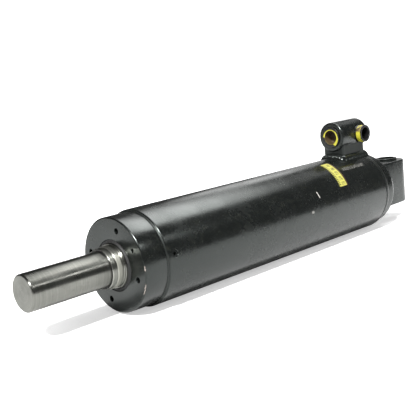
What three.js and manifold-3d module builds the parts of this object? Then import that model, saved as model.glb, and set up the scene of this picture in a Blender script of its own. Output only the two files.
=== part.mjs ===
// Two-stage telescopic hydraulic cylinder, lying on the floor with its port block up.
// Millimetres, +Z up. The barrel axis runs along X and the rod points towards -X.
// Lengths along the axis are measured from the outer face of the gland, rearwards positive.

import * as THREE from 'three';
import { mergeVertices } from 'three/addons/utils/BufferGeometryUtils.js';
import Module from 'manifold-3d';

const wasm = await Module();
wasm.setup();

// ---------------------------------------------------------------- driving dimensions

const GAP = 0.3; // clearance between touching pieces

const BARREL_R = 70;
const BARREL_BORE_R = 60;
const BARREL_START = 40;
const BARREL_END = 566;
const BARREL_SIDES = 48; // a flat facet faces straight down, so the barrel can rest on it

const GLAND_R = 67;
const GLAND_END = 90;
const GLAND_EDGE = 1.4;
const SPANNER_HOLES = 4;
const SPANNER_HOLE_R = 4;
const SPANNER_CIRCLE_R = 51;
const SPANNER_ANGLE = -17; // degrees from the top, positive away from the side port
const BLEED_HOLE_R = 2.8;
const BLEED_ANGLE = -61;

const SLEEVE_R = 31.5;
const SLEEVE_BORE_R = 27;
const SLEEVE_START = -4;
const SLEEVE_END = 500;
const NOSE_START = -23;
const NOSE_R = 29.4;
const HEAD_SEAT_R = 29;
const HEAD_END = 36;

const ROD_R = 25;
const ROD_START = -142;
const ROD_SHOULDER = 440;
const ROD_END = 474;
const ROD_JOURNAL_R = 17;

const SLEEVE_PISTON_START = 455;
const SLEEVE_PISTON_END = 508;

const CAP_SPIGOT_START = 545;
const CAP_R = 65.5;
const CAP_EDGE_R = 62;
const CAP_END = 597;

const LUG_WIDTH = 64;
const LUG_HEIGHT = 81;
const PIN_X = 674;
const PIN_R = 16;
const BUSH_R = 19.7;
const BUSH_PROUD = 4;

const BLOCK_START = 505.5;
const BLOCK_END = 579.5;
const BLOCK_R = 26;
const BLOCK_HEIGHT = 106.7; // above the barrel axis
const SADDLE_START = 508.5;
const SADDLE_END = 572.5;
const SADDLE_WIDTH = 42;
const SADDLE_TOP = 92;
const PASSAGE_X = 528;
const PASSAGE_R = 6;
const FRONT_PORT_R = 16.6;
const GALLERY_R = 11;
const SIDE_PORT_X = 556;
const SIDE_PORT_R = 13;
const SIDE_SEAT_Y = -21;
const FRONT_PLUG_RIM_R = 18.3;
const FRONT_SEAT_DEPTH = 0.6; // spot face that the front plug's rim sits in
const SIDE_PLUG_RIM_R = 15;
const SIDE_PLUG_REACH = 16.5;

const LABEL_START = 438;
const LABEL_WIDTH = 23.5;
const LABEL_ANGLES = [17, 63.5]; // degrees from the top towards the side port

const LOCK_X = 52;
const LOCK_ANGLE = 81;
const LOCK_HOLE_R = 5.2;

const AXIS_HEIGHT = BARREL_R * Math.cos(Math.PI / BARREL_SIDES);
const LUG_END = PIN_X + LUG_WIDTH / 2;
const MID_X = (ROD_START + LUG_END) / 2;

// ---------------------------------------------------------------- materials

function finish(color, roughness, metalness) {
  return new THREE.MeshStandardMaterial({ color, roughness, metalness });
}

const blackPaint = finish(0x1c1d1d, 0.38, 0.0);
const machinedSteel = finish(0xa9aaa4, 0.3, 1.0);
const polishedSteel = finish(0xc9c9c2, 0.18, 1.0);
const innerSteel = finish(0x8a8b88, 0.4, 1.0);
const bronze = finish(0x9a7a42, 0.4, 1.0);
const blackRubber = finish(0x141414, 0.85, 0.0);
const yellowPlastic = finish(0xc9c22e, 0.45, 0.0);
const labelFoil = finish(0xe3dd78, 0.5, 0.0);

// ---------------------------------------------------------------- helpers

const radians = THREE.MathUtils.degToRad;

function closedGeometry(geometry) {
  geometry.deleteAttribute('normal');
  geometry.deleteAttribute('uv');
  return mergeVertices(geometry, 1e-4);
}

function signedVolume(geometry) {
  const position = geometry.attributes.position;
  const index = geometry.index.array;
  const a = new THREE.Vector3();
  const b = new THREE.Vector3();
  const c = new THREE.Vector3();
  let volume = 0;
  for (let i = 0; i < index.length; i += 3) {
    a.fromBufferAttribute(position, index[i]);
    b.fromBufferAttribute(position, index[i + 1]);
    c.fromBufferAttribute(position, index[i + 2]);
    volume += a.dot(b.cross(c)) / 6;
  }
  return volume;
}

function faceOutwards(geometry) {
  if (signedVolume(geometry) < 0) {
    const index = geometry.index.array;
    for (let i = 0; i < index.length; i += 3) {
      [index[i + 1], index[i + 2]] = [index[i + 2], index[i + 1]];
    }
  }
  return geometry;
}

// A body turned about the X axis from [x, radius] points. The profile either starts and
// ends on the axis or closes on itself. A flat side of the polygon faces straight down.
function turned(profile, sides) {
  const points = profile.map(([x, r]) => new THREE.Vector2(r, x));
  if (profile[0][1] > 0) {
    points.push(points[0].clone());
  }
  const geometry = new THREE.LatheGeometry(points, sides, Math.PI / sides, 2 * Math.PI);
  geometry.rotateZ(-Math.PI / 2);
  return faceOutwards(closedGeometry(geometry));
}

// A plain ring of rectangular section about the X axis.
function ring(start, end, innerR, outerR, sides) {
  return turned([[start, innerR], [start, outerR], [end, outerR], [end, innerR]], sides);
}

// A round bar about X, used as a cutter as well.
function bar(start, end, radius, sides) {
  return turned([[start, 0], [start, radius], [end, radius], [end, 0]], sides);
}

function toManifold(geometry) {
  const closed = faceOutwards(closedGeometry(geometry));
  return new wasm.Manifold(new wasm.Mesh({
    numProp: 3,
    vertProperties: new Float32Array(closed.attributes.position.array),
    triVerts: new Uint32Array(closed.index.array),
  }));
}

function toGeometry(manifold) {
  const mesh = manifold.getMesh();
  const geometry = new THREE.BufferGeometry();
  geometry.setAttribute('position', new THREE.BufferAttribute(mesh.vertProperties, 3));
  geometry.setIndex(new THREE.BufferAttribute(mesh.triVerts, 1));
  return geometry;
}

function subtract(geometry, ...cutters) {
  let solid = toManifold(geometry);
  for (const cutter of cutters) {
    solid = solid.subtract(toManifold(cutter));
  }
  return toGeometry(solid);
}

function intersect(first, second) {
  return toGeometry(toManifold(first).intersect(toManifold(second)));
}

// A bar laid along X, turned to point up, leaned about X by an angle and moved to x.
function radialBar(x, inner, outer, radius, sides, angle) {
  const geometry = bar(inner, outer, radius, sides);
  geometry.rotateY(-Math.PI / 2);
  geometry.rotateX(angle);
  geometry.translate(x, 0, 0);
  return geometry;
}

// A box whose section shrinks or grows along one axis: x for 'x', z for 'z'.
function taperedBox(axis, low, high, lowHalf, highHalf) {
  const geometry = new THREE.BoxGeometry(2, 2, 2);
  const position = geometry.attributes.position;
  for (let i = 0; i < position.count; i += 1) {
    const along = axis === 'x' ? position.getX(i) : position.getZ(i);
    const half = along < 0 ? lowHalf : highHalf;
    const reach = along < 0 ? low : high;
    if (axis === 'x') {
      position.setXYZ(i, reach, position.getY(i) * half[0], position.getZ(i) * half[1]);
    } else {
      position.setXYZ(i, position.getX(i) * half[0], position.getY(i) * half[1], reach);
    }
  }
  return geometry;
}

function addPiece(group, name, material, geometry) {
  const shown = geometry.toNonIndexed();
  shown.computeVertexNormals();
  const mesh = new THREE.Mesh(shown, material);
  mesh.name = name;
  group.add(mesh);
  return mesh;
}

// ---------------------------------------------------------------- groups

const root = new THREE.Group();
root.name = 'telescopic_cylinder';

function stage(name) {
  const group = new THREE.Group();
  group.name = name;
  group.position.set(-MID_X, 0, AXIS_HEIGHT);
  root.add(group);
  return group;
}

const barrel = stage('barrel_stage');
const sleeve = stage('sleeve_stage');
const rod = stage('rod_stage');

// ---------------------------------------------------------------- barrel and base

const tubeWall = turned([
  [BARREL_START, BARREL_BORE_R],
  [BARREL_START, BARREL_R - 1.2],
  [BARREL_START + 1.2, BARREL_R],
  [BARREL_END - 4, BARREL_R],
  [BARREL_END, BARREL_R - 4],
  [BARREL_END, BARREL_BORE_R],
], BARREL_SIDES);
addPiece(barrel, 'barrel_tube', blackPaint, subtract(
  tubeWall,
  radialBar(PASSAGE_X, BARREL_BORE_R - 5, BARREL_R + 5, PASSAGE_R, 16, 0),
  radialBar(LOCK_X, BARREL_BORE_R - 5, BARREL_R + 5, LOCK_HOLE_R, 16, radians(LOCK_ANGLE)),
));

addPiece(barrel, 'base_cap', blackPaint, turned([
  [CAP_SPIGOT_START, 0],
  [CAP_SPIGOT_START, BARREL_BORE_R - 2],
  [CAP_SPIGOT_START + 2, BARREL_BORE_R - GAP],
  [BARREL_END + GAP, BARREL_BORE_R - GAP],
  [BARREL_END + GAP, CAP_R],
  [CAP_END - 7, CAP_R],
  [CAP_END, CAP_EDGE_R],
  [CAP_END, 0],
], BARREL_SIDES));

addPiece(barrel, 'base_weld', blackPaint, turned([
  [BARREL_END - 3.4, BARREL_R],
  [BARREL_END + 0.8, CAP_R + GAP],
  [BARREL_END + 9, CAP_R + GAP],
  [BARREL_END + 6.5, CAP_R + 2.4],
  [BARREL_END + 2, BARREL_R - 0.4],
], BARREL_SIDES));

// ---------------------------------------------------------------- rear lug

const lugOutline = new THREE.Shape();
lugOutline.moveTo(CAP_END + GAP, -LUG_WIDTH / 2);
lugOutline.lineTo(PIN_X, -LUG_WIDTH / 2);
lugOutline.absarc(PIN_X, 0, LUG_WIDTH / 2, -Math.PI / 2, Math.PI / 2, false);
lugOutline.lineTo(CAP_END + GAP, LUG_WIDTH / 2);
lugOutline.closePath();
const lugHole = new THREE.Path();
lugHole.absarc(PIN_X, 0, BUSH_R + GAP, 0, 2 * Math.PI, true);
lugOutline.holes.push(lugHole);
const LUG_BEVEL = 1.5;
const lugBody = new THREE.ExtrudeGeometry(lugOutline, {
  depth: LUG_HEIGHT - 2 * LUG_BEVEL,
  curveSegments: 12,
  bevelEnabled: true,
  bevelSegments: 1,
  bevelThickness: LUG_BEVEL,
  bevelSize: LUG_BEVEL,
  bevelOffset: -LUG_BEVEL,
});
lugBody.translate(0, 0, -LUG_HEIGHT / 2 + LUG_BEVEL);
addPiece(barrel, 'rear_lug', blackPaint, faceOutwards(closedGeometry(lugBody)));

const bush = ring(
  -LUG_HEIGHT / 2 - BUSH_PROUD,
  LUG_HEIGHT / 2 + BUSH_PROUD,
  PIN_R,
  BUSH_R,
  32,
);
bush.rotateY(-Math.PI / 2);
bush.translate(PIN_X, 0, 0);
addPiece(barrel, 'lug_bush', innerSteel, bush);

const WELD_LEG = 6;
const lugHalf = [LUG_WIDTH / 2, LUG_HEIGHT / 2];
addPiece(barrel, 'lug_weld', blackPaint, subtract(
  taperedBox(
    'x',
    CAP_END + GAP,
    CAP_END + WELD_LEG,
    lugHalf.map((half) => half + WELD_LEG),
    lugHalf.map((half) => half + 1.5),
  ),
  taperedBox(
    'x',
    CAP_END - 5,
    CAP_END + 20,
    lugHalf.map((half) => half + GAP),
    lugHalf.map((half) => half + GAP),
  ),
));

// ---------------------------------------------------------------- port block

const blockMiddle = (BLOCK_START + BLOCK_END) / 2;

function atBlock(geometry) {
  geometry.translate(0, 0, BLOCK_HEIGHT);
  return geometry;
}

const sidePort = (radius, near, far, sides) => {
  const geometry = bar(near, far, radius, sides);
  geometry.rotateZ(-Math.PI / 2);
  geometry.translate(SIDE_PORT_X, 0, BLOCK_HEIGHT);
  return geometry;
};

const blockBody = atBlock(turned([
  [BLOCK_START, 0],
  [BLOCK_START, BLOCK_R - 1.5],
  [BLOCK_START + 1.5, BLOCK_R],
  [BLOCK_END - 1.5, BLOCK_R],
  [BLOCK_END, BLOCK_R - 1.5],
  [BLOCK_END, 0],
], 40));
addPiece(barrel, 'port_block', blackPaint, subtract(
  blockBody,
  atBlock(bar(BLOCK_START - 5, BLOCK_START + FRONT_SEAT_DEPTH, FRONT_PLUG_RIM_R + 0.5, 32)),
  atBlock(bar(BLOCK_START - 5, BLOCK_START + 22, FRONT_PORT_R, 32)),
  atBlock(bar(BLOCK_START + 10, SIDE_PORT_X + 8, GALLERY_R, 24)),
  sidePort(SIDE_PLUG_RIM_R + 1, -SIDE_SEAT_Y, BLOCK_R + 10, 32),
  sidePort(SIDE_PORT_R, 0, BLOCK_R + 10, 24),
  radialBar(PASSAGE_X, 60, BLOCK_HEIGHT, PASSAGE_R, 16, 0),
));

const saddleHalf = [(SADDLE_END - SADDLE_START) / 2, SADDLE_WIDTH / 2];
const saddleX = (SADDLE_START + SADDLE_END) / 2;

function blankAt(low, high, lowHalf, highHalf) {
  const geometry = taperedBox('z', low, high, lowHalf, highHalf);
  geometry.translate(saddleX, 0, 0);
  return geometry;
}

addPiece(barrel, 'port_saddle', blackPaint, subtract(
  blankAt(55, SADDLE_TOP, saddleHalf, saddleHalf),
  bar(BARREL_START, CAP_END, BARREL_R + GAP, BARREL_SIDES),
  atBlock(bar(BLOCK_START - 5, BLOCK_END + 5, BLOCK_R + GAP, 40)),
  radialBar(PASSAGE_X, 50, BLOCK_HEIGHT, PASSAGE_R, 16, 0),
));

const saddleGap = saddleHalf.map((half) => half + GAP);
const weldFoot = saddleHalf.map((half) => half + 11);
const weldTop = saddleHalf.map((half) => half + 0.8);
addPiece(barrel, 'port_weld', blackPaint, subtract(
  intersect(
    blankAt(55, 78, weldFoot, weldTop),
    bar(BARREL_START, CAP_END, BARREL_R + 8, BARREL_SIDES),
  ),
  bar(BARREL_START, CAP_END, BARREL_R + GAP, BARREL_SIDES),
  blankAt(50, 120, saddleGap, saddleGap),
));

// A hollow push-in plug about X: rim outside, closed shank inside the port.
function hollowPlug(rimFace, seat, floor, rimR, shankR, hollowR, sides) {
  return turned([
    [floor, 0],
    [floor, shankR],
    [seat, shankR],
    [seat, rimR],
    [rimFace, rimR],
    [rimFace, hollowR],
    [floor - 3, hollowR],
    [floor - 3, 0],
  ], sides);
}

addPiece(barrel, 'port_plug_front', yellowPlastic, atBlock(hollowPlug(
  BLOCK_START - GAP - 2.6,
  BLOCK_START + FRONT_SEAT_DEPTH - GAP,
  BLOCK_START + 17,
  FRONT_PLUG_RIM_R,
  FRONT_PORT_R - GAP,
  12.4,
  32,
)));

const sidePlug = hollowPlug(
  -SIDE_PLUG_REACH,
  -GAP,
  9,
  SIDE_PLUG_RIM_R,
  SIDE_PORT_R - GAP,
  11.4,
  32,
);
sidePlug.rotateZ(Math.PI / 2);
sidePlug.translate(SIDE_PORT_X, SIDE_SEAT_Y, BLOCK_HEIGHT);
addPiece(barrel, 'port_plug_side', yellowPlastic, sidePlug);

// ---------------------------------------------------------------- label and lock screw

const labelInner = BARREL_R + GAP;
const labelOuter = labelInner + 0.5;
const [labelFrom, labelTo] = LABEL_ANGLES.map(radians);
const labelSection = new THREE.Shape();
labelSection.absarc(0, 0, labelOuter, labelFrom, labelTo, false);
labelSection.absarc(0, 0, labelInner, labelTo, labelFrom, true);
labelSection.closePath();
const label = new THREE.ExtrudeGeometry(labelSection, {
  depth: LABEL_WIDTH,
  curveSegments: 10,
  bevelEnabled: false,
});
// the section's x becomes up and its y becomes the side port's side, -Y
label.applyMatrix4(new THREE.Matrix4().set(
  0, 0, 1, LABEL_START,
  0, -1, 0, 0,
  1, 0, 0, 0,
  0, 0, 0, 1,
));
addPiece(barrel, 'label_plate', labelFoil, faceOutwards(closedGeometry(label)));

const lockScrew = subtract(
  radialBar(LOCK_X, BARREL_BORE_R + 0.6, BARREL_R - 0.8, LOCK_HOLE_R - GAP, 16, 0),
  radialBar(LOCK_X, BARREL_R - 5, BARREL_R + 5, 2.7, 6, 0),
);
lockScrew.rotateX(radians(LOCK_ANGLE));
addPiece(barrel, 'gland_lock_screw', innerSteel, lockScrew);

// ---------------------------------------------------------------- gland

const WIPER_DEPTH = 9;
const WIPER_R = 36;
const SEAL_FROM = 26;
const SEAL_TO = 35;
const SEAL_R = 37.5;
const BEARING_FROM = 48;
const BEARING_TO = 76;
const BEARING_R = 35;
const ORING_FROM = 60;
const ORING_TO = 65.5;
const ORING_R = 56;
const glandBoreR = SLEEVE_R + GAP;

const glandBody = turned([
  [0, WIPER_R + GAP],
  [0, GLAND_R - GLAND_EDGE],
  [GLAND_EDGE, GLAND_R],
  [BARREL_START - GAP, GLAND_R],
  [BARREL_START - GAP, BARREL_BORE_R - GAP],
  [ORING_FROM - GAP, BARREL_BORE_R - GAP],
  [ORING_FROM - GAP, ORING_R - GAP],
  [ORING_TO + GAP, ORING_R - GAP],
  [ORING_TO + GAP, BARREL_BORE_R - GAP],
  [GLAND_END - 2, BARREL_BORE_R - GAP],
  [GLAND_END, BARREL_BORE_R - 2],
  [GLAND_END, glandBoreR],
  [BEARING_TO + GAP, glandBoreR],
  [BEARING_TO + GAP, BEARING_R + GAP],
  [BEARING_FROM - GAP, BEARING_R + GAP],
  [BEARING_FROM - GAP, glandBoreR],
  [SEAL_TO + GAP, glandBoreR],
  [SEAL_TO + GAP, SEAL_R + GAP],
  [SEAL_FROM - GAP, SEAL_R + GAP],
  [SEAL_FROM - GAP, glandBoreR],
  [WIPER_DEPTH + GAP, glandBoreR],
  [WIPER_DEPTH + GAP, WIPER_R + GAP],
], BARREL_SIDES);

function faceHole(angle, radius, depth) {
  const geometry = bar(-5, depth, radius, 16);
  const a = radians(angle);
  geometry.translate(0, SPANNER_CIRCLE_R * Math.sin(a), SPANNER_CIRCLE_R * Math.cos(a));
  return geometry;
}

const glandHoles = [faceHole(BLEED_ANGLE, BLEED_HOLE_R, 14)];
for (let i = 0; i < SPANNER_HOLES; i += 1) {
  glandHoles.push(faceHole(SPANNER_ANGLE + (360 * i) / SPANNER_HOLES, SPANNER_HOLE_R, 12));
}
addPiece(barrel, 'gland_head', blackPaint, subtract(glandBody, ...glandHoles));
addPiece(barrel, 'gland_wiper', blackRubber, turned([
  [0.6, WIPER_R - 1.5],
  [-1.4, SLEEVE_R + 1.8],
  [-1.4, SLEEVE_R + GAP],
  [WIPER_DEPTH, SLEEVE_R + GAP],
  [WIPER_DEPTH, WIPER_R],
  [0.6, WIPER_R],
], 40));
addPiece(barrel, 'gland_seal', blackRubber, ring(SEAL_FROM, SEAL_TO, glandBoreR, SEAL_R, 32));
addPiece(barrel, 'gland_bearing', bronze, ring(BEARING_FROM, BEARING_TO, glandBoreR, BEARING_R, 32));
addPiece(barrel, 'gland_oring', blackRubber, ring(ORING_FROM, ORING_TO, ORING_R, BARREL_BORE_R - GAP, 32));

// ---------------------------------------------------------------- sleeve stage

addPiece(sleeve, 'sleeve_tube', machinedSteel, turned([
  [SLEEVE_START, HEAD_SEAT_R],
  [SLEEVE_START, SLEEVE_R - 0.8],
  [SLEEVE_START + 0.8, SLEEVE_R],
  [SLEEVE_END, SLEEVE_R],
  [SLEEVE_END, SLEEVE_BORE_R],
  [HEAD_END + GAP, SLEEVE_BORE_R],
  [HEAD_END + GAP, HEAD_SEAT_R],
], 40));

const rodBoreR = ROD_R + GAP;
const ROD_WIPER_R = 27.2;
const ROD_WIPER_END = -18;
const ROD_SEAL_FROM = 0;
const ROD_SEAL_TO = 6;
const ROD_BEARING_FROM = 12;
const ROD_BEARING_TO = 30;
const HEAD_GROOVE_R = 27.2;

addPiece(sleeve, 'sleeve_head', polishedSteel, turned([
  [NOSE_START, ROD_WIPER_R + GAP],
  [NOSE_START, NOSE_R - 1.6],
  [NOSE_START + 0.8, NOSE_R - 1.1],
  [-14.4, NOSE_R - 1.1],
  [-13.6, NOSE_R],
  [-7.6, NOSE_R],
  [-7, NOSE_R - 0.6],
  [-7, HEAD_SEAT_R - 1.2],
  [SLEEVE_START, HEAD_SEAT_R - 1.2],
  [SLEEVE_START + 1, HEAD_SEAT_R - GAP],
  [HEAD_END, HEAD_SEAT_R - GAP],
  [HEAD_END, rodBoreR],
  [ROD_BEARING_TO + GAP, rodBoreR],
  [ROD_BEARING_TO + GAP, HEAD_GROOVE_R],
  [ROD_BEARING_FROM - GAP, HEAD_GROOVE_R],
  [ROD_BEARING_FROM - GAP, rodBoreR],
  [ROD_SEAL_TO + GAP, rodBoreR],
  [ROD_SEAL_TO + GAP, HEAD_GROOVE_R],
  [ROD_SEAL_FROM - GAP, HEAD_GROOVE_R],
  [ROD_SEAL_FROM - GAP, rodBoreR],
  [ROD_WIPER_END + GAP, rodBoreR],
  [ROD_WIPER_END + GAP, ROD_WIPER_R + GAP],
], 32));
addPiece(sleeve, 'rod_wiper', blackRubber, ring(NOSE_START + 0.6, ROD_WIPER_END, rodBoreR, ROD_WIPER_R, 32));
addPiece(sleeve, 'rod_seal', blackRubber, ring(ROD_SEAL_FROM, ROD_SEAL_TO, rodBoreR, HEAD_GROOVE_R - GAP, 32));
addPiece(sleeve, 'rod_bearing', bronze, ring(ROD_BEARING_FROM, ROD_BEARING_TO, rodBoreR, HEAD_GROOVE_R - GAP, 32));

// Grooves cut into the outside of a piston, each with its own ring.
function groovedProfile(start, end, innerR, outerR, grooves) {
  const points = [[start, innerR], [start, outerR]];
  for (const [from, to, floorR] of grooves) {
    points.push([from - GAP, outerR], [from - GAP, floorR - GAP]);
    points.push([to + GAP, floorR - GAP], [to + GAP, outerR]);
  }
  points.push([end, outerR]);
  return points;
}

const sleevePistonR = BARREL_BORE_R - GAP;
const wearFront = [461, 467, 57];
const pistonSeal = [475, 484, 54.5];
const wearRear = [492, 498, 57];
addPiece(sleeve, 'sleeve_piston', innerSteel, turned([
  ...groovedProfile(
    SLEEVE_PISTON_START,
    SLEEVE_PISTON_END,
    SLEEVE_R + GAP,
    sleevePistonR,
    [wearFront, pistonSeal, wearRear],
  ),
  [SLEEVE_PISTON_END, 22],
  [SLEEVE_END + GAP, 22],
  [SLEEVE_END + GAP, SLEEVE_R + GAP],
], 32));

function grooveRing(group, name, material, [from, to, floorR], outerR, sides) {
  addPiece(group, name, material, ring(from, to, floorR, outerR, sides));
}

grooveRing(sleeve, 'sleeve_wear_ring_front', bronze, wearFront, sleevePistonR, 32);
grooveRing(sleeve, 'sleeve_piston_seal', blackRubber, pistonSeal, sleevePistonR, 32);
grooveRing(sleeve, 'sleeve_wear_ring_rear', bronze, wearRear, sleevePistonR, 32);

// ---------------------------------------------------------------- rod stage

addPiece(rod, 'rod', machinedSteel, turned([
  [ROD_START, 0],
  [ROD_START, ROD_R - 1.6],
  [ROD_START + 1.6, ROD_R],
  [ROD_SHOULDER, ROD_R],
  [ROD_SHOULDER, ROD_JOURNAL_R],
  [ROD_END, ROD_JOURNAL_R],
  [ROD_END, 0],
], 32));

const rodPistonR = SLEEVE_BORE_R - GAP;
const rodSeal = [446, 451, 23.5];
const rodWear = [455, 459, 25];
const PISTON_BACK = 462;
addPiece(rod, 'rod_piston', innerSteel, turned(groovedProfile(
  ROD_SHOULDER + GAP,
  PISTON_BACK,
  ROD_JOURNAL_R + GAP,
  rodPistonR,
  [rodSeal, rodWear],
).concat([[PISTON_BACK, ROD_JOURNAL_R + GAP]]), 32));
grooveRing(rod, 'rod_piston_seal', blackRubber, rodSeal, rodPistonR, 32);
grooveRing(rod, 'rod_wear_ring', bronze, rodWear, rodPistonR, 32);
addPiece(rod, 'rod_nut', innerSteel, subtract(
  bar(PISTON_BACK + GAP, ROD_END - 2, 26, 6),
  bar(PISTON_BACK - 5, ROD_END + 5, ROD_JOURNAL_R + GAP, 32),
));

export default root;
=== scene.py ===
# A two-stage telescopic hydraulic cylinder lying in a plain pale studio.
# Metres, in the CAD row frame: the barrel axis runs along X with the rod towards -X, the port
# block is up (+Z) and the side port looks along -Y. Angles round the barrel are degrees from
# the top, positive towards -Y.

import math
import random

import bmesh
import bpy
from mathutils import Matrix, Vector


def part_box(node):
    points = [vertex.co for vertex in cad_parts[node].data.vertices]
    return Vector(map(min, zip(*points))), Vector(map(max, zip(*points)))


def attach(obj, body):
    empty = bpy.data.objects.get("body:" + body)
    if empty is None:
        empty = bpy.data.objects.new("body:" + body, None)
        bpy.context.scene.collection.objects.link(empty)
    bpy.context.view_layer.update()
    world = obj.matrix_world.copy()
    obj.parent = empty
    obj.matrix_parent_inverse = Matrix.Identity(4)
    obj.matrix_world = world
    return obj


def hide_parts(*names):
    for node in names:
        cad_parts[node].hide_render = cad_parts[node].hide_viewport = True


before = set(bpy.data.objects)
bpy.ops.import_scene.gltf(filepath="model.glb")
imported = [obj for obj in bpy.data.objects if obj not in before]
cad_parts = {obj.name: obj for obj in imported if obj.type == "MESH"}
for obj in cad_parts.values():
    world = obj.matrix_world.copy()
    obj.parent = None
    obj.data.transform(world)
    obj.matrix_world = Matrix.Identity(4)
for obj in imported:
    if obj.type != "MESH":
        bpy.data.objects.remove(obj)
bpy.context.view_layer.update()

MM = 0.001
AXES = {"X": (0, 1, 2), "Y": (1, 2, 0), "Z": (2, 0, 1)}  # along the axis, then across it
ON_AXIS = 1e-6  # a radius up to this is a point on the axis
SIDES = 192  # round a large turned piece
STAGE_SIDES = 160  # round the sleeve, the rod and what is inside
SMALL_SIDES = 96  # round a plug, a bush or a port
SMOOTH_BELOW = 38.0  # degrees: an edge that turns by more is shaded sharp
WELD_SMOOTH_BELOW = 60.0

# ---------------------------------------------------------------- places, from the frame

tube_low, tube_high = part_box("barrel_tube")
BARREL_R = (tube_high.y - tube_low.y) / 2
AXIS_Z = (tube_high.z + tube_low.z) / 2
SEAM_X = tube_low.x
gland_low, gland_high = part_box("gland_head")
GLAND_X = gland_low.x
GLAND_R = gland_high.y
BASE_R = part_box("base_cap")[1].y
label_low, label_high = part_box("label_plate")


def millimetres_behind_gland(x):
    return GLAND_X + x * MM


def around(angle, radius, x):
    """The point at an angle from the top, towards the side port, round the barrel axis."""
    turn = math.radians(angle)
    return Vector((x, -radius * math.sin(turn), AXIS_Z + radius * math.cos(turn)))


# ---------------------------------------------------------------- mesh helpers


def finish_mesh(mesh, sharp=SMOOTH_BELOW):
    """Joined corners, faces turned outwards, and smooth shading between sharp edges."""
    shape = bmesh.new()
    shape.from_mesh(mesh)
    bmesh.ops.remove_doubles(shape, verts=shape.verts, dist=1e-6)
    bmesh.ops.recalc_face_normals(shape, faces=shape.faces)
    shape.to_mesh(mesh)
    shape.free()
    for polygon in mesh.polygons:
        polygon.use_smooth = True
    mesh.set_sharp_from_angle(angle=math.radians(sharp))
    mesh.update()


def new_piece(name, points, faces, sharp=SMOOTH_BELOW):
    mesh = bpy.data.meshes.new(name)
    mesh.from_pydata([tuple(point) for point in points], [], faces)
    finish_mesh(mesh, sharp)
    piece = bpy.data.objects.new(name, mesh)
    bpy.context.scene.collection.objects.link(piece)
    return piece


def bake_modifiers(piece):
    graph = bpy.context.evaluated_depsgraph_get()
    mesh = bpy.data.meshes.new_from_object(piece.evaluated_get(graph))
    piece.modifiers.clear()
    piece.data = mesh
    finish_mesh(mesh)


def cut(piece, cutters):
    """Takes the cutters out of a piece and removes them from the scene."""
    for cutter in cutters:
        modifier = piece.modifiers.new("cut", "BOOLEAN")
        modifier.operation = "DIFFERENCE"
        modifier.solver = "EXACT"
        modifier.object = cutter
    bake_modifiers(piece)
    for cutter in cutters:
        bpy.data.objects.remove(cutter)


def round_edges(piece, width, segments, angle):
    """Rounds the edges that turn by more than an angle in degrees."""
    modifier = piece.modifiers.new("round", "BEVEL")
    modifier.width = width
    modifier.segments = segments
    modifier.limit_method = "ANGLE"
    modifier.angle_limit = math.radians(angle)
    modifier.use_clamp_overlap = True
    bake_modifiers(piece)


# ---------------------------------------------------------------- turned pieces

DECIMALS = 5  # places and radii are matched to a hundredth of a millimetre
COLUMN_WIDTH = 2e-3  # radians
CORNER_STEPS = 4
CORNER_SHARE = 0.45  # the most of an edge that one rounded corner takes
CUTTER_CLEARANCE = 10 * MM  # how far outside the surface a cutter starts
DRILL_POINT = 0.3  # height of the cone at a hole's bottom, over the hole's radius


def read_outline(node, axis="X"):
    """The [along, radius] outline of a turned CAD node, read from the one column of its mesh
    with the largest angle, and drawn in to the circle inside its flat sides."""
    along, across, other = AXES[axis]
    low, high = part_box(node)
    middle = (low + high) / 2
    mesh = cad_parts[node].data
    spots = []
    for vertex in mesh.vertices:
        side = vertex.co[across] - middle[across]
        height = vertex.co[other] - middle[other]
        spots.append((vertex.co[along], math.hypot(side, height), math.atan2(side, height)))
    reach = max(radius for _, radius, _ in spots)
    column = max(angle for _, radius, angle in spots if radius > MM)
    shrink = (high[across] - low[across]) / 2 / reach

    def key(index):
        place, radius, angle = spots[index]
        if radius > ON_AXIS and abs(angle - column) > COLUMN_WIDTH:
            return None
        return round(place, DECIMALS), round(radius, DECIMALS)

    links = {}
    for edge in mesh.edges:
        ends = [key(index) for index in edge.vertices]
        if None not in ends and ends[0] != ends[1]:
            links.setdefault(ends[0], set()).add(ends[1])
            links.setdefault(ends[1], set()).add(ends[0])
    ends_of_line = sorted(spot for spot, near in links.items() if len(near) == 1)
    outline = [ends_of_line[0] if ends_of_line else min(links)]
    while True:
        ways = sorted(links[outline[-1]] - set(outline))
        if not ways:
            break
        outline.append(ways[0])
    return [(place, radius * shrink) for place, radius in outline]


def soften(outline, radius):
    """Rounds every corner of an outline. An outline off the axis is a closed loop."""
    closed = outline[0][1] > ON_AXIS
    count = len(outline)
    rounded = []
    for i, corner in enumerate(outline):
        if not closed and i in (0, count - 1):
            rounded.append(corner)
            continue
        here = Vector(corner)
        before = Vector(outline[i - 1]) - here
        after = Vector(outline[(i + 1) % count]) - here
        reach = min(radius, before.length * CORNER_SHARE, after.length * CORNER_SHARE)
        start = here + before.normalized() * reach
        end = here + after.normalized() * reach
        for step in range(CORNER_STEPS + 1):
            t = step / CORNER_STEPS
            point = start * (1 - t) ** 2 + here * 2 * t * (1 - t) + end * t**2
            rounded.append((point.x, point.y))
    return rounded


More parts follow.
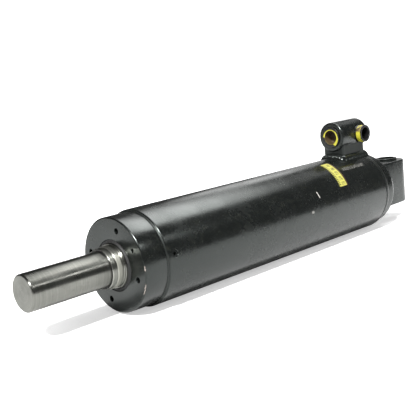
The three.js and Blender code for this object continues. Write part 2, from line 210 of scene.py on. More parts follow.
def lathe(name, outline, centre, axis="X", sides=SIDES, wobble=None):
    """A solid turned from [along, radius] points about an axis through centre. wobble takes
    a point's place, radius and angle, and gives its moved place and radius."""
    along, across, other = AXES[axis]
    points = []
    columns = []
    for place, radius in outline:
        ring = []
        for i in range(sides if radius > ON_AXIS else 1):
            angle = 2 * math.pi * i / sides
            moved, reach = wobble(place, radius, angle) if wobble else (place, radius)
            point = [0.0, 0.0, 0.0]
            point[along] = moved
            point[across] = centre[across] + reach * math.sin(angle)
            point[other] = centre[other] + reach * math.cos(angle)
            ring.append(len(points))
            points.append(point)
        columns.append(ring)
    pairs = list(zip(columns, columns[1:]))
    if outline[0][1] > ON_AXIS:
        pairs.append((columns[-1], columns[0]))
    faces = []
    for first, second in pairs:
        for i in range(sides):
            j = (i + 1) % sides
            corners = [first[i % len(first)], first[j % len(first)]]
            corners += [second[j % len(second)], second[i % len(second)]]
            face = list(dict.fromkeys(corners))
            if len(face) > 2:
                faces.append(face)
    return new_piece(name, points, faces)


def turn_again(node, name, corner, axis="X", sides=SIDES, wobble=None):
    """A fine turned piece in the place of a faceted CAD node, its corners rounded."""
    low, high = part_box(node)
    outline = soften(read_outline(node, axis), corner)
    return lathe(name, outline, (low + high) / 2, axis, sides, wobble)


def drill(mouth, direction, radius, depth, flare=0.0, sides=48):
    """A round cutter into a surface at its mouth, with a 45 degree flare there."""
    flared = radius + flare + CUTTER_CLEARANCE if flare else radius
    outline = [
        (-CUTTER_CLEARANCE, 0.0),
        (-CUTTER_CLEARANCE, flared),
        (flare, radius),
        (depth, radius),
        (depth + radius * DRILL_POINT, 0.0),
    ]
    cutter = lathe("cutter", outline, (0, 0, 0), "Z", sides)
    turn = Vector(direction).to_track_quat("Z", "Y").to_matrix().to_4x4()
    cutter.data.transform(Matrix.Translation(mouth) @ turn)
    return cutter


# ---------------------------------------------------------------- weld beads

RIPPLE_PITCH = 2.6 * MM
BEAD_BULGE = 0.18  # of the distance from a bead's root to its face
BEAD_STEPS = 8
WELD_SPACING = 0.7 * MM
QUARTER_POINTS = 7  # round each corner of a rectangle
QUARTER_STEP = 15  # degrees


def weld_bead(name, stations, seed, ripple):
    """A closed bead swept through stations of (root, foot, top), bulged and rippled."""
    chance = random.Random(seed)
    points = []
    rows = []
    swell = 1.0
    travelled = 0.0
    for index, (root, foot, top) in enumerate(stations):
        if index:
            travelled += (root - stations[index - 1][0]).length
        swell += (chance.uniform(0.9, 1.1) - swell) * 0.25
        wave = 1 - abs(((travelled / RIPPLE_PITCH) % 1.0) * 2 - 1)
        bulge = BEAD_BULGE * swell + ripple * wave
        outward = (foot + top) / 2 - root
        row = [len(points)]
        points.append(root)
        for step in range(BEAD_STEPS + 1):
            t = step / BEAD_STEPS
            arch = 4 * t * (1 - t)
            row.append(len(points))
            points.append(foot * (1 - t) + top * t + outward * (bulge * arch))
        rows.append(row)
    faces = []
    for first, second in zip(rows, rows[1:] + rows[:1]):
        count = len(first)
        for i in range(count):
            j = (i + 1) % count
            faces.append([first[i], first[j], second[j], second[i]])
    return new_piece(name, points, faces, WELD_SMOOTH_BELOW)


def rounded_rectangle(half_width, half_height, radius, spacing):
    """Points and outward normals along a rectangle with round corners."""
    path = []
    corners = [(1, 1, 0), (-1, 1, 90), (-1, -1, 180), (1, -1, 270)]
    centres = []
    for side, level, start in corners:
        centres.append(Vector((side * (half_width - radius), level * (half_height - radius))))
    for index, (side, level, start) in enumerate(corners):
        for step in range(QUARTER_POINTS):
            turn = math.radians(start + step * QUARTER_STEP)
            normal = Vector((math.cos(turn), math.sin(turn)))
            path.append((centres[index] + normal * radius, normal))
        last_point, normal = path[-1]
        goal = centres[(index + 1) % len(corners)] + normal * radius
        count = max(1, int((goal - last_point).length / spacing))
        for step in range(1, count):
            path.append((last_point.lerp(goal, step / count), normal))
    return path


# ---------------------------------------------------------------- material helpers


class Graph:
    """Short ways to build the node graph of one material."""

    def __init__(self, name, **shader):
        self.material = bpy.data.materials.new(name)
        self.material.use_nodes = True
        self.tree = self.material.node_tree
        self.shader = self.tree.nodes["Principled BSDF"]
        for key, value in shader.items():
            self.shader.inputs[key.replace("_", " ")].default_value = value

    def feed(self, socket, value):
        """Links a socket's value in, or sets it as a constant."""
        if isinstance(value, bpy.types.NodeSocket):
            self.tree.links.new(value, socket)
        else:
            socket.default_value = value

    def node(self, kind, inputs=None, output=0, **settings):
        made = self.tree.nodes.new("ShaderNode" + kind)
        for key, value in settings.items():
            setattr(made, key, value)
        for key, value in (inputs or {}).items():
            self.feed(made.inputs[key], value)
        return made.outputs[output]

    def math(self, operation, first, second=0.0, third=0.0):
        return self.node("Math", {0: first, 1: second, 2: third}, operation=operation)

    def add(self, first, second):
        return self.math("ADD", first, second)

    def subtract(self, first, second):
        return self.math("SUBTRACT", first, second)

    def times(self, first, *others):
        for other in others:
            first = self.math("MULTIPLY", first, other)
        return first

    def most(self, first, *others):
        for other in others:
            first = self.math("MAXIMUM", first, other)
        return first

    def linear(self, value, factor, offset):
        """value * factor + offset"""
        return self.math("MULTIPLY_ADD", value, factor, offset)

    def distance(self, first, second, first_centre=0.0, second_centre=0.0):
        """How far a point is from a centre, in two of its coordinates."""
        a = self.subtract(first, first_centre)
        b = self.subtract(second, second_centre)
        return self.math("SQRT", self.linear(a, a, self.times(b, b)))

    def place(self):
        """Position on the piece at rest, in metres in the row frame."""
        return self.node("TexCoord", output="Object")

    def split(self, vector):
        parts = self.tree.nodes.new("ShaderNodeSeparateXYZ")
        self.tree.links.new(vector, parts.inputs[0])
        return parts.outputs[0], parts.outputs[1], parts.outputs[2]

    def vector(self, operation, first, second):
        return self.node("VectorMath", {0: first, 1: second}, operation=operation)

    def noise(self, vector, scale, detail=3.0, roughness=0.55):
        inputs = {"Vector": vector, "Scale": scale, "Detail": detail, "Roughness": roughness}
        return self.node("TexNoise", inputs)

    def fade(self, value, low, high, at_low=0.0, at_high=1.0):
        """A smooth step of value from low to high."""
        inputs = {0: value, 1: low, 2: high, 3: at_low, 4: at_high}
        return self.node("MapRange", inputs, interpolation_type="SMOOTHSTEP")

    def band(self, value, low, high, edge):
        """One between low and high, fading over edge."""
        rise = self.fade(value, low - edge, low)
        return self.times(rise, self.fade(value, high, high + edge, 1.0, 0.0))

    def mix(self, factor, first, second):
        """The colour between two. Inputs 6 and 7 and output 2 are a Mix node's colours."""
        inputs = {0: factor, 6: first, 7: second}
        return self.node("Mix", inputs, 2, data_type="RGBA")

    def bump(self, height, distance, strength, normal=None):
        inputs = {"Height": height, "Distance": distance, "Strength": strength}
        if normal is not None:
            inputs["Normal"] = normal
        return self.node("Bump", inputs)

    def use(self, **sockets):
        for key, value in sockets.items():
            self.feed(self.shader.inputs[key.replace("_", " ")], value)
        return self.material

    def around_axis(self):
        """x, angle from the top towards -Y in degrees, and radius, about the barrel axis."""
        x, y, z = self.split(self.place())
        height = self.subtract(z, AXIS_Z)
        side = self.times(y, -1.0)
        angle = self.times(self.math("ARCTAN2", side, height), 180 / math.pi)
        return x, angle, self.math("SQRT", self.linear(side, side, self.times(height, height)))


def grey(value, tint=(1.0, 1.0, 1.0)):
    return (value * tint[0], value * tint[1], value * tint[2], 1.0)


# ---------------------------------------------------------------- materials
# Noise scales are per metre, so 170 is mottling about 6 mm across. Roughness, masks and the
# label's two directions run from 0 to 1.

COOL = (0.9, 1.06, 1.0)
OLIVE = (1.0, 1.08, 0.86)
PAINT_IOR = 1.56
PAINT_TINT = (0.92, 1.0, 0.96, 1.0)
BARE_STEEL = grey(0.55, (1.0, 0.86, 0.78))
PALE_SCUFF = grey(0.8, (1.0, 0.97, 0.9))
WARM_STAIN = (1.0, 0.95, 0.85)
STEEL_TINT = (0.99, 1.0, 0.91)
BRONZE_TINT = (1.0, 0.68, 0.3)
# pale colour of the painted floor reflection on the sleeve's end nut
FLOOR_SHEEN_COLOUR = grey(0.36, (1.0, 1.0, 0.88))
YELLOWS = (0.40, 0.37, 0.02, 1.0), (0.58, 0.55, 0.06, 1.0)
FOILS = (0.40, 0.38, 0.06, 1.0), (0.52, 0.50, 0.13, 1.0)
# the plugs' brown: dirt, and painted shade in the front plug's hollow
BROWN_DIRT_AND_SHADE = (0.075, 0.05, 0.028, 1.0)
# the plugs' black: overspray, and painted shade in the side plug's hollow
OVERSPRAY_AND_SHADE = grey(0.008)  # the plugs' black
INK = (0.03, 0.027, 0.012, 1.0)
LABEL_EDGE = (0.03, 0.012, 0.01, 1.0)


def black_paint(name, marks=None, level=0.24):
    """Sprayed semi-gloss black: orange peel, dust and uneven gloss about a level of
    roughness, with marks on top."""
    g = Graph(name, IOR=PAINT_IOR, Specular_Tint=PAINT_TINT)
    place = g.place()
    patches = g.noise(place, 22.0, 5.0, 0.6)
    mottle = g.noise(place, 170.0, 4.0, 0.65)
    dust = g.fade(g.noise(place, 700.0, 4.0, 0.7), 0.62, 0.74)
    colour = g.mix(patches, grey(0.004, COOL), grey(0.008, COOL))
    colour = g.mix(g.fade(mottle, 0.5, 0.75), colour, grey(0.016, OLIVE))
    colour = g.mix(g.times(dust, 0.4), colour, grey(0.07))
    roughness = g.fade(patches, 0.25, 0.75, level - 0.05, level + 0.07)
    roughness = g.linear(dust, 0.18, roughness)
    roughness = g.linear(mottle, 0.1, g.add(roughness, -0.05))
    peel = g.bump(g.noise(place, 420.0, 2.0, 0.5), 0.12 * MM, 0.6)
    waves = g.bump(g.noise(place, 46.0, 2.0, 0.5), 0.9 * MM, 0.15, peel)
    if marks:
        colour, roughness, metal = marks(g, colour, roughness)
        g.use(Metallic=metal)
    return g.use(Base_Color=colour, Roughness=roughness, Normal=waves)


def worn_through(g, colour, roughness, mask, bare):
    """The bare colour, a little rougher, where the mask is one."""
    return g.mix(mask, colour, bare), g.linear(mask, 0.1, roughness)


def barrel_marks(g, colour, roughness):
    """A scratch and a scuffed spot low on the side port's side, and pale specks in a line by the
    weld.
    """
    x, angle, _ = g.around_axis()
    scratch_lean = -0.22 * MM  # for each degree down the barrel
    scratch_x = millimetres_behind_gland(374.5) + 65.0 * scratch_lean
    upright = g.linear(angle, scratch_lean, x)
    scratch = g.times(
        g.band(upright, scratch_x - 0.5 * MM, scratch_x + 0.5 * MM, 0.5 * MM),
        g.band(angle, 61.0, 69.0, 1.2),
    )
    spot_x = millimetres_behind_gland(350.0)
    spot = g.times(
        g.band(x, spot_x - 2.2 * MM, spot_x + 2.2 * MM, 1.6 * MM),
        g.band(angle, 84.0, 86.0, 1.3),
        0.25,
    )
    pale_specks = g.times(
        g.band(x, millimetres_behind_gland(474.0), millimetres_behind_gland(530.0), 6 * MM),
        g.band(angle, 35.5, 40.5, 1.2),
        g.fade(g.noise(g.place(), 900.0, 2.0), 0.5, 0.62),
        0.3,
    )
    mask = g.most(scratch, spot, pale_specks)
    colour, roughness = worn_through(g, colour, roughness, mask, PALE_SCUFF)
    return colour, roughness, g.times(mask, 0.3)


def gland_marks(g, colour, roughness):
    """Paint chipped off the front edge in two places on the side port's side."""
    x, angle, radius = g.around_axis()
    wander = g.linear(g.noise(g.place(), 300.0, 4.0, 0.7), 4 * MM, -2 * MM)
    near_front = g.fade(g.add(x, wander), GLAND_X + 0.3 * MM, GLAND_X + 1.1 * MM, 1.0, 0.0)
    near_edge = g.fade(g.add(radius, wander), GLAND_R - 1.8 * MM, GLAND_R - 0.9 * MM)
    chips = g.most(g.band(angle, 86.5, 89.5, 2.5), g.band(angle, 110.0, 117.0, 5.0))
    mask = g.times(chips, near_front, near_edge)
    colour, roughness = worn_through(g, colour, roughness, mask, BARE_STEEL)
    return colour, roughness, mask


def turned_surface(g, base, roughness, ring_pitch, ring_depth, tint):
    """The colour and roughness of a turned metal, once its bump and grain are in place: the
    rings that a lathe leaves, round the side and across the end faces, and stained patches."""
    place = g.place()
    x, _, radius = g.around_axis()
    _, y, z = g.split(place)
    turning = g.node("CombineXYZ", {0: g.add(x, radius), 1: y, 2: z})
    fine_scale = (1.0 / ring_pitch, 5.0, 5.0)
    coarse_scale = (620.0, 4.0, 4.0)
    rings = g.noise(g.vector("MULTIPLY", turning, fine_scale), 1.0, 3.0, 0.65)
    coarse = g.noise(g.vector("MULTIPLY", turning, coarse_scale), 1.0, 2.0, 0.6)
    patches = g.noise(place, 38.0, 4.0, 0.6)
    stains = g.fade(g.noise(place, 90.0, 5.0, 0.7), 0.52, 0.72)
    lines = g.fade(g.linear(coarse, 0.6, g.times(rings, 0.4)), 0.3, 0.7)
    colour = g.mix(lines, grey(base * 0.84, tint), grey(base * 1.14, tint))
    colour = g.mix(g.times(stains, 0.3), colour, grey(base * 0.55, WARM_STAIN))
    level = g.fade(patches, 0.25, 0.75, roughness - 0.05, roughness + 0.06)
    spoke = g.vector("SUBTRACT", place, (0, 0, AXIS_Z))
    round_about = g.vector("CROSS_PRODUCT", (1, 0, 0), spoke)
    normal = g.node("NewGeometry", output="Normal")
    g.use(
        Normal=g.bump(rings, ring_depth, 0.6),
        Tangent=g.vector("CROSS_PRODUCT", round_about, normal),
    )
    return colour, g.linear(rings, 0.08, level)


def turned_steel(name, base, roughness, ring_pitch, ring_depth, tint=STEEL_TINT):
    g = Graph(name, Metallic=1.0, Anisotropic=0.8)
    colour, level = turned_surface(g, base, roughness, ring_pitch, ring_depth, tint)
    return g.use(Base_Color=colour, Roughness=level)


def head_steel(name):
    """Polished steel with a pale band behind the nose of the sleeve's end nut: painted reflection
    of the bright floor, put into the colour. The painted band fades almost away within about 50
    degrees of the top, since the floor shows only in the lower side."""
    g = Graph(name, Anisotropic=0.8)
    colour, level = turned_surface(g, 0.42, 0.3, 0.6 * MM, 0.03 * MM, STEEL_TINT)
    x, angle, _ = g.around_axis()
    front = millimetres_behind_gland(-14.2)
    # the pale band is painted reflection of the bright floor, on the lower side only, in colour,
    # roughness and metalness
    floor_sheen = g.times(
        g.band(x, front, millimetres_behind_gland(-7.2), 0.4 * MM),
        g.fade(g.math("ABSOLUTE", angle), 40.0, 62.0, 0.12),
    )
    return g.use(
        Base_Color=g.mix(floor_sheen, colour, FLOOR_SHEEN_COLOUR),
        Roughness=g.linear(floor_sheen, 0.25, level),
        Metallic=g.linear(floor_sheen, -0.55, 1.0),
    )


def rubber(name):
    g = Graph(name, IOR=1.5)
    grain = g.noise(g.place(), 1400.0, 3.0)
    colour = g.mix(grain, grey(0.01), grey(0.022))
    roughness = g.fade(grain, 0.3, 0.7, 0.5, 0.7)
    return g.use(Base_Color=colour, Roughness=roughness, Normal=g.bump(grain, 0.05 * MM, 0.5))


def yellow_plastic(name, painted):
    """Moulded yellow plug. painted(graph, place) gives its black and its brown: the black is
    overspray, with painted shade in the side plug's hollow; the brown is painted shade in the
    front plug's hollow and dirt on the side plug.
    """
    g = Graph(name, IOR=1.5)
    place = g.place()
    colour = g.mix(g.noise(place, 120.0, 3.0), *YELLOWS)
    spray_and_shade, dirt_and_shade = painted(g, place)
    # brown: dirt, and painted shade in the front plug's hollow
    colour = g.mix(dirt_and_shade, colour, BROWN_DIRT_AND_SHADE)
    # black: overspray, and painted shade in the side plug's hollow
    colour = g.mix(spray_and_shade, colour, OVERSPRAY_AND_SHADE)
    roughness = g.linear(spray_and_shade, -0.12, 0.42)
    height = g.linear(spray_and_shade, 0.5, g.noise(place, 800.0, 2.0))
    return g.use(Base_Color=colour, Roughness=roughness, Normal=g.bump(height, 0.1 * MM, 0.4))


LABEL_FIRST = 17.0  # degrees from the top
LABEL_LAST = 63.5
LABEL_LEAN = 4.2 * MM
LABEL_TICKS = 17.0
LABEL_BLOCKS = 5.0


def label_print(name):
    """Yellow foil with a dark edge, plain smudged blocks and short ticks in place of print."""
    g = Graph(name, IOR=1.45)
    x, angle, _ = g.around_axis()
    span = LABEL_LAST - LABEL_FIRST
    along = g.linear(angle, 1 / span, -LABEL_FIRST / span)
    shift = g.linear(along, LABEL_LEAN, -label_low.x - LABEL_LEAN / 2)
    across = g.times(g.add(x, shift), 1 / (label_high.x - label_low.x))
    speck = g.noise(g.place(), 900.0, 3.0)
    smudge = g.noise(g.place(), 260.0, 3.0, 0.65)
    ticks = g.fade(g.math("FRACT", g.times(along, LABEL_TICKS)), 0.4, 0.55)
    ticks = g.times(ticks, g.band(across, -0.1, 0.2, 0.02))
    blocks = g.fade(g.math("FRACT", g.times(along, LABEL_BLOCKS)), 0.2, 0.35)
    faint = g.fade(smudge, 0.42, 0.6, 0.15, 0.85)
    blocks = g.times(blocks, g.band(across, 0.36, 0.68, 0.06), faint)
    ink = g.times(g.most(ticks, blocks), g.band(along, 0.05, 0.95, 0.01), 0.95)
    inside = g.times(g.band(across, -0.1, 0.82, 0.02), g.band(along, 0.015, 0.985, 0.006))
    colour = g.mix(ink, g.mix(speck, *FOILS), INK)
    colour = g.mix(inside, LABEL_EDGE, colour)
    return g.use(Base_Color=colour, Roughness=g.fade(speck, 0.3, 0.7, 0.35, 0.5))


PAINT = black_paint("paint_black")
BARREL_PAINT = black_paint("paint_black_barrel", barrel_marks)
GLAND_PAINT = black_paint("paint_black_gland", gland_marks, 0.22)
WELD_PAINT = black_paint("paint_black_weld", level=0.18)
SEAM_PAINT = black_paint("paint_black_seam", level=0.36)
ROUGH_PAINT = black_paint("paint_black_rough", level=0.5)
# Each turned metal has its name, lightness, roughness, and the pitch and depth of its rings.
ROD_STEEL = turned_steel("steel_turned_rod", 0.24, 0.28, 0.9 * MM, 0.06 * MM)
TUBE_STEEL = turned_steel("steel_turned_tube", 0.26, 0.26, 0.7 * MM, 0.04 * MM)
HEAD_STEEL = head_steel("steel_polished_head")
INNER_STEEL = turned_steel("steel_inner", 0.4, 0.34, 0.8 * MM, 0.05 * MM)
BRONZE = turned_steel("bronze_bearing", 0.5, 0.32, 0.8 * MM, 0.04 * MM, BRONZE_TINT)
RUBBER = rubber("rubber_black")


# ---------------------------------------------------------------- placing pieces


def fit(piece, node, body, material):
    """Gives a piece its material and its body, and hides the CAD node that it stands for."""
    piece.data.materials.clear()
    piece.data.materials.append(material)
    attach(piece, body)
    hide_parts(node)


# ---------------------------------------------------------------- barrel and base

BARREL_EDGE = 1.3 * MM
lock_low, lock_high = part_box("gland_lock_screw")
lock_middle = (lock_low + lock_high) / 2
LOCK_X = lock_middle.x
LOCK_ANGLE = math.degrees(math.atan2(-lock_middle.y, lock_middle.z - AXIS_Z))
LOCK_HOLE_R = 5.2 * MM
LOCK_HOLE_DEPTH = 12 * MM

barrel = turn_again("barrel_tube", "barrel_wall", corner=BARREL_EDGE)
lock_mouth = around(LOCK_ANGLE, BARREL_R, LOCK_X)
lock_outward = lock_mouth - around(LOCK_ANGLE, 0, LOCK_X)
cut(barrel, [drill(lock_mouth, -lock_outward, LOCK_HOLE_R, LOCK_HOLE_DEPTH, flare=0.7 * MM)])
fit(barrel, "barrel_tube", "barrel", BARREL_PAINT)

cap = turn_again("base_cap", "base_end_cap", corner=0.8 * MM)
fit(cap, "base_cap", "barrel", PAINT)

RING_SIDES = 520
RING_RIPPLES = 130
RING_BUMPS = 64
RIPPLE_HEIGHT = 0.35 * MM
BUMP_HEIGHT = 0.12 * MM
RING_HEIGHT = 5 * MM  # about how far the ring weld stands above the base
ring_chance = random.Random(11)
ring_bumps = [ring_chance.uniform(-1, 1) for _ in range(RING_BUMPS)]


def base_ripple(place, radius, angle):
    """Fish-scale ripples on the ring weld, largest where the bead stands furthest out."""
    turns = angle / (2 * math.pi)
    wave = abs((turns * RING_RIPPLES % 1.0) * 2 - 1)
    bump = ring_bumps[int(turns * RING_BUMPS) % RING_BUMPS]
    out = max(0.0, radius - BASE_R) / RING_HEIGHT
    return place, radius + out * (RIPPLE_HEIGHT * wave + BUMP_HEIGHT * bump)


weld = turn_again(
    "base_weld", "base_weld_bead", corner=1.2 * MM, sides=RING_SIDES, wobble=base_ripple
)
fit(weld, "base_weld", "barrel", SEAM_PAINT)

# ---------------------------------------------------------------- gland

SPANNER_CIRCLE = 51 * MM  # radius
GLAND_HOLES = [(61.0, 2.8 * MM, 14 * MM)]  # angle, radius, depth
GLAND_HOLES += [(17.0 + 90 * quarter, 4 * MM, 12 * MM) for quarter in range(4)]

gland = turn_again("gland_head", "gland_nut", corner=0.5 * MM)
cutters = []
for angle, radius, depth in GLAND_HOLES:
    mouth = around(angle, SPANNER_CIRCLE, GLAND_X)
    cutters.append(drill(mouth, (1, 0, 0), radius, depth, flare=0.35 * MM))
cut(gland, cutters)
fit(gland, "gland_head", "barrel", GLAND_PAINT)

SEAM_PROUD = 0.05 * MM  # over the gland
SEAM_GAP = 0.02 * MM
SEAM_OVER_GLAND = 1.7 * MM
SEAM_FOOT = 0.3 * MM
seam_outline = [
    (SEAM_X - SEAM_OVER_GLAND, GLAND_R + SEAM_PROUD),
    (SEAM_X - SEAM_GAP, GLAND_R + SEAM_PROUD),
    (SEAM_X - SEAM_GAP, BARREL_R - BARREL_EDGE),
    (SEAM_X - SEAM_FOOT, BARREL_R - BARREL_EDGE),
]
seam = lathe("seam_paint_fillet", soften(seam_outline, 0.2 * MM), (0, 0, AXIS_Z))
seam.data.materials.append(SEAM_PAINT)
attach(seam, "barrel")

wiper = turn_again("gland_wiper", "gland_wiper_ring", corner=0.6 * MM)
fit(wiper, "gland_wiper", "barrel", RUBBER)

LOCK_FOOT = 60.6 * MM  # from the barrel's axis
LOCK_TOP = BARREL_R - 1.0 * MM
LOCK_R = 4.9 * MM
LOCK_CHAMFER = 0.6 * MM
LOCK_SOCKET_R = 2.7 * MM
LOCK_SOCKET_DEPTH = 3.4 * MM
lock_outline = [
    (LOCK_FOOT, 0.0),
    (LOCK_FOOT, LOCK_R),
    (LOCK_TOP - LOCK_CHAMFER, LOCK_R),
    (LOCK_TOP, LOCK_R - LOCK_CHAMFER),
    (LOCK_TOP, 0.0),
]
lock_screw = lathe("lock_screw", soften(lock_outline, 0.2 * MM), (0, 0, 0), "Z", sides=64)
cut(lock_screw, [drill((0, 0, LOCK_TOP), (0, 0, -1), LOCK_SOCKET_R, LOCK_SOCKET_DEPTH, sides=6)])
lock_turn = Matrix.Rotation(math.radians(LOCK_ANGLE), 4, "X")
lock_screw.data.transform(Matrix.Translation((LOCK_X, 0, AXIS_Z)) @ lock_turn)
fit(lock_screw, "gland_lock_screw", "barrel", PAINT)

# ---------------------------------------------------------------- rear lug

lug_low, lug_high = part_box("rear_lug")
LUG_HALF = (lug_high.y - lug_low.y) / 2
PIN_X = lug_high.x - LUG_HALF
bush_low, bush_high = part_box("lug_bush")
BUSH_R = (bush_high.y - bush_low.y) / 2
LUG_STEPS = 48  # round its end
LUG_EDGE = 2.2 * MM
BUSH_GAP = 0.2 * MM
THROUGH_LUG = 120 * MM
LUG_WELD_LEG = 6 * MM
LUG_WELD_LIFT = 0.2 * MM


def rear_lug():
    """The pin lug: a block with a full round end, its edges rounded all the way round."""
    outline = [(lug_low.x, -LUG_HALF), (PIN_X, -LUG_HALF)]
    for step in range(1, LUG_STEPS):
        turn = math.radians(-90 + 180 * step / LUG_STEPS)
        outline.append((PIN_X + LUG_HALF * math.cos(turn), LUG_HALF * math.sin(turn)))
    outline += [(PIN_X, LUG_HALF), (lug_low.x, LUG_HALF)]
    count = len(outline)
    points = [(x, y, z) for z in (lug_low.z, lug_high.z) for x, y in outline]
    faces = [list(range(count))[::-1], list(range(count, 2 * count))]
    for i in range(count):
        j = (i + 1) % count
        faces.append([i, j, count + j, count + i])
    lug = new_piece("pin_lug", points, faces)
    round_edges(lug, LUG_EDGE, segments=4, angle=50.0)
    mouth = (PIN_X, 0, lug_high.z)
    bore_r = BUSH_R + BUSH_GAP
    cut(lug, [drill(mouth, (0, 0, -1), bore_r, THROUGH_LUG, flare=0.8 * MM, sides=SMALL_SIDES)])
    return lug


fit(rear_lug(), "rear_lug", "barrel", PAINT)
bush = turn_again("lug_bush", "pin_bush", corner=0.7 * MM, axis="Z", sides=SMALL_SIDES)
fit(bush, "lug_bush", "barrel", PAINT)

lug_stations = []
lug_rise = (lug_high.z - lug_low.z) / 2
for spot, normal in rounded_rectangle(LUG_HALF, lug_rise, LUG_EDGE, WELD_SPACING):
    root = Vector((lug_low.x, spot.x, spot.y)) + Vector((LUG_WELD_LIFT, 0, AXIS_Z))
    foot = root + Vector((0, normal.x, normal.y)) * LUG_WELD_LEG
    lug_stations.append((root, foot, root + Vector((LUG_WELD_LEG, 0, 0))))
lug_weld = weld_bead("lug_weld_bead", lug_stations, seed=5, ripple=0.16)
fit(lug_weld, "lug_weld", "barrel", WELD_PAINT)

# ---------------------------------------------------------------- port block

block_low, block_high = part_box("port_block")
BLOCK_R = (block_high.y - block_low.y) / 2
BLOCK_Z = (block_high.z + block_low.z) / 2
BLOCK_EDGE = 1.6 * MM
plug_low, plug_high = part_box("port_plug_front")
side_low, side_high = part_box("port_plug_side")
SIDE_X = (side_low.x + side_high.x) / 2
SIDE_PLUG_OUT = 16.5 * MM  # its face stands this far off the block's seat
RIM_R = (plug_high.y - plug_low.y) / 2
SIDE_RIM_R = (side_high.x - side_low.x) / 2
FRONT_HOLLOW_R = 12.4 * MM
SIDE_HOLLOW_R = 11.4 * MM

block_outline = [
    (block_low.x, 0.0),
    (block_low.x, BLOCK_R - BLOCK_EDGE),
    (block_low.x + BLOCK_EDGE, BLOCK_R),
    (block_high.x - BLOCK_EDGE, BLOCK_R),
    (block_high.x, BLOCK_R - BLOCK_EDGE),
    (block_high.x, 0.0),
]
block = lathe("port_body", soften(block_outline, 0.8 * MM), (0, 0, BLOCK_Z), sides=128)
front_mouth = (block_low.x, 0, BLOCK_Z)
side_mouth = (SIDE_X, side_low.y + SIDE_PLUG_OUT, BLOCK_Z)
BLOCK_BORES = [  # mouth, direction, radius, depth, sides
    (front_mouth, (1, 0, 0), RIM_R + 0.5 * MM, 0.6 * MM, SMALL_SIDES),  # the front plug's seat
    (front_mouth, (1, 0, 0), 16.6 * MM, 22 * MM, SMALL_SIDES),  # the front port
    (front_mouth, (1, 0, 0), 11 * MM, SIDE_X - block_low.x, 64),  # the passage between ports
    (side_mouth, (0, 1, 0), SIDE_RIM_R + 1 * MM, 0.3 * MM, SMALL_SIDES),  # the side plug's seat
    (side_mouth, (0, 1, 0), 13 * MM, 20 * MM, SMALL_SIDES),  # the side port
]
cutters = []
for mouth, direction, radius, depth, sides in BLOCK_BORES:
    cutters.append(drill(mouth, direction, radius, depth, sides=sides))
cut(block, cutters)
fit(block, "port_block", "barrel", PAINT)


def front_spray_and_shade(g, place):
    """Black on the rim but for an arc over the top and down the -Y side; the brown in the hollow
    is painted shade.
    """
    _, y, z = g.split(place)
    wander = g.linear(g.noise(place, 160.0, 3.0), 1.6 * MM, -0.8 * MM)
    off_middle = g.add(g.distance(y, z, 0.0, BLOCK_Z - 1.9 * MM), wander)
    outside = g.fade(off_middle, 15.6 * MM, 16.2 * MM)
    down = g.linear(y, 0.7, g.subtract(BLOCK_Z, z))
    low_side = g.fade(g.add(down, g.times(wander, 3.0)), 7.5 * MM, 10.5 * MM)
    radius = g.distance(y, z, 0.0, BLOCK_Z)
    # painted shade: the hollow's inside is coloured brown to stand for the shade in it
    hollow_shade = g.fade(radius, FRONT_HOLLOW_R - 0.1 * MM, FRONT_HOLLOW_R + 0.5 * MM, 1.0, 0.0)
    return g.times(g.most(outside, low_side), g.subtract(1.0, hollow_shade)), hollow_shade


def side_spray_and_shade(g, place):
    """Black over the outer face and the foot, and black painted shade in the hollow, with a brown
    streak on top.
    """
    x, y, z = g.split(place)
    depth = g.add(y, g.linear(g.noise(place, 170.0, 3.0), 3 * MM, -1.5 * MM))
    face = g.fade(depth, side_low.y + 0.9 * MM, side_low.y + 1.5 * MM, 1.0, 0.0)
    foot = g.fade(depth, side_low.y + 9.0 * MM, side_low.y + 10.5 * MM)
    radius = g.distance(x, z, SIDE_X, BLOCK_Z)
    # painted shade: the hollow's inside is coloured black to stand for the shade in it
    hollow_shade = g.fade(radius, SIDE_HOLLOW_R, SIDE_HOLLOW_R + 1.2 * MM, 1.0, 0.0)
    high = g.fade(z, BLOCK_Z + 2 * MM, BLOCK_Z + 7 * MM)
    streak = g.times(high, g.fade(g.noise(place, 210.0, 2.0), 0.42, 0.5))
    return g.most(face, foot, hollow_shade), streak


FRONT_PLASTIC = yellow_plastic("plastic_yellow_front", front_spray_and_shade)
SIDE_PLASTIC = yellow_plastic("plastic_yellow_side", side_spray_and_shade)
front_plug = turn_again("port_plug_front", "plug_front", 0.5 * MM, sides=SMALL_SIDES)
fit(front_plug, "port_plug_front", "barrel", FRONT_PLASTIC)
side_plug = turn_again("port_plug_side", "plug_side", 0.5 * MM, "Y", SMALL_SIDES)
fit(side_plug, "port_plug_side", "barrel", SIDE_PLASTIC)

saddle_low, saddle_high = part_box("port_saddle")
SADDLE_X = (saddle_low.x + saddle_high.x) / 2
SADDLE_LONG = (saddle_high.x - saddle_low.x) / 2
SADDLE_WIDE = (saddle_high.y - saddle_low.y) / 2
SADDLE_CORNER = 3 * MM
SADDLE_GAP = 0.2 * MM
SADDLE_LEVELS = (0.0, 0.5, 1.0)


def barrel_height(y, lift=0.0):
    """Height of the barrel's wall at a distance to its side, lift above the surface."""
    return AXIS_Z + math.sqrt((BARREL_R + lift) ** 2 - y**2)


